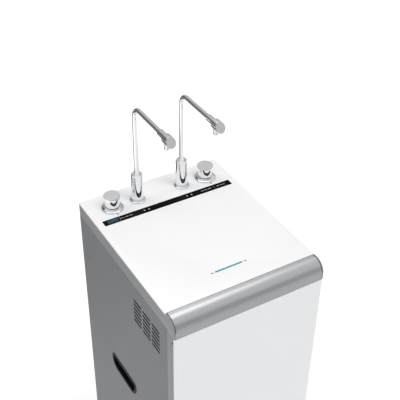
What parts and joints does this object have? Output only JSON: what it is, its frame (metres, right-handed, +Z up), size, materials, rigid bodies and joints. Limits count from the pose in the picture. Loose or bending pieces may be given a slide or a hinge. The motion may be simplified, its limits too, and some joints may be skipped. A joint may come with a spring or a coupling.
{
  "type": "hot and cold water purifier",
  "caption": "Free-standing water purifier cabinet with a white top and door, rounded metal front trim, swivelling gooseneck taps, turning knobs and side hand pockets.",
  "frame": {"origin": "on the floor, at the middle of the footprint of cabinet and rear condenser", "axes": "+Z up, the door faces -Y, +X to the right of someone who faces the door"},
  "size_m": [0.343, 0.449, 1.2422],
  "materials": {
    "white_abs": "glossy moulded white",
    "light_grey_abs": "fine moulded grain",
    "grey_steel": "powder coated sheet",
    "zinc_steel": "zinc plated sheet",
    "satin_aluminium": "satin anodised",
    "chrome": "polished plating",
    "black_abs": "fine moulded grain",
    "dark_grey_pp": "moulded",
    "rubber": "moulded",
    "black_glass": "polished",
    "light_guide": "clear tinted acrylic",
    "circuit_board": "solder resist",
    "brass": "machined",
    "hose": "extruded tube",
    "magnet": "plated",
    "blue_pp": "moulded",
    "filter_white": "moulded",
    "pump_metal": "coated",
    "foam": "moulded foam",
    "tank_plastic": "wound and coated",
    "black_paint": "stove enamel",
    "supply_case": "moulded"
  },
  "bodies": {
    "cabinet": {"top_panel": "white_abs", "top_cover": "light_grey_abs", "side_panel_left": "grey_steel", "side_panel_right": "grey_steel", "rear_panel": "grey_steel", "service_wall": "zinc_steel", "tank_shelf": "zinc_steel", "filter_bracket": "zinc_steel", "hinge_pins": "zinc_steel", "hot_tank": "zinc_steel", "nose_trim": "satin_aluminium", "tap_body_left": "chrome", "tap_body_right": "chrome", "knob_rings": "chrome", "handle_cup_left": "black_abs", "handle_cup_right": "black_abs", "switch_housings": "black_abs", "cord_gland": "black_abs", "base_pan": "dark_grey_pp", "feet": "rubber", "spout_seals": "rubber", "compressor_mounts": "rubber", "control_strip": "black_glass", "led_bar": "light_guide", "control_board": "circuit_board", "tap_nuts": "brass", "valve_bodies": "brass", "inner_hoses": "hose", "prefilter_heads": "blue_pp", "prefilter_bowls": "filter_white", "membrane_housing": "filter_white", "fine_filters": "filter_white", "cartridge_clips": "filter_white", "tube_fittings": "filter_white", "booster_pump": "pump_metal", "cold_tank": "foam", "storage_tank": "tank_plastic", "compressor": "black_paint", "condenser": "black_paint", "power_supply": "supply_case"},
    "door": {"door_frame": "light_grey_abs", "door_panel": "white_abs", "door_magnet": "magnet"},
    "spout_left": {"spout_tube_left": "chrome", "spout_head_left": "chrome", "spout_cap_left": "satin_aluminium", "nozzle_left": "chrome"},
    "spout_right": {"spout_tube_right": "chrome", "spout_head_right": "chrome", "spout_cap_right": "satin_aluminium", "nozzle_right": "chrome"},
    "knob_left": {"knob_left": "chrome", "knob_disc_left": "satin_aluminium", "valve_stem_left": "brass"},
    "knob_right": {"knob_right": "chrome", "knob_disc_right": "satin_aluminium", "valve_stem_right": "brass"},
    "rocker_hot": {"rocker_hot": "black_abs"},
    "rocker_cold": {"rocker_cold": "black_abs"}
  },
  "joints": [
    {"name": "door_hinge", "type": "hinge", "parent": "cabinet", "child": "door", "pos_m": [0.157, -0.21002, 0.5], "axis": [0, 0, 1], "range_deg": [0, 90]},
    {"name": "spout_left_swivel", "type": "hinge", "parent": "cabinet", "child": "spout_left", "pos_m": [-0.0545, 0.14597, 1.06], "axis": [0, 0, 1], "range_deg": [-90, 15]},
    {"name": "spout_right_swivel", "type": "hinge", "parent": "cabinet", "child": "spout_right", "pos_m": [0.0545, 0.14597, 1.06], "axis": [0, 0, 1], "range_deg": [-15, 90]},
    {"name": "knob_left_turn", "type": "hinge", "parent": "cabinet", "child": "knob_left", "pos_m": [-0.115, 0.14597, 1.01], "axis": [0, 0, 1], "range_deg": [-90, 90]},
    {"name": "knob_right_turn", "type": "hinge", "parent": "cabinet", "child": "knob_right", "pos_m": [0.115, 0.14597, 1.01], "axis": [0, 0, 1], "range_deg": [-90, 90]},
    {"name": "rocker_hot_tilt", "type": "hinge", "parent": "cabinet", "child": "rocker_hot", "pos_m": [0.086, 0.19848, 0.934], "axis": [1, 0, 0], "range_deg": [0, 18]},
    {"name": "rocker_cold_tilt", "type": "hinge", "parent": "cabinet", "child": "rocker_cold", "pos_m": [0.12, 0.19848, 0.934], "axis": [1, 0, 0], "range_deg": [0, 18]}
  ]
}
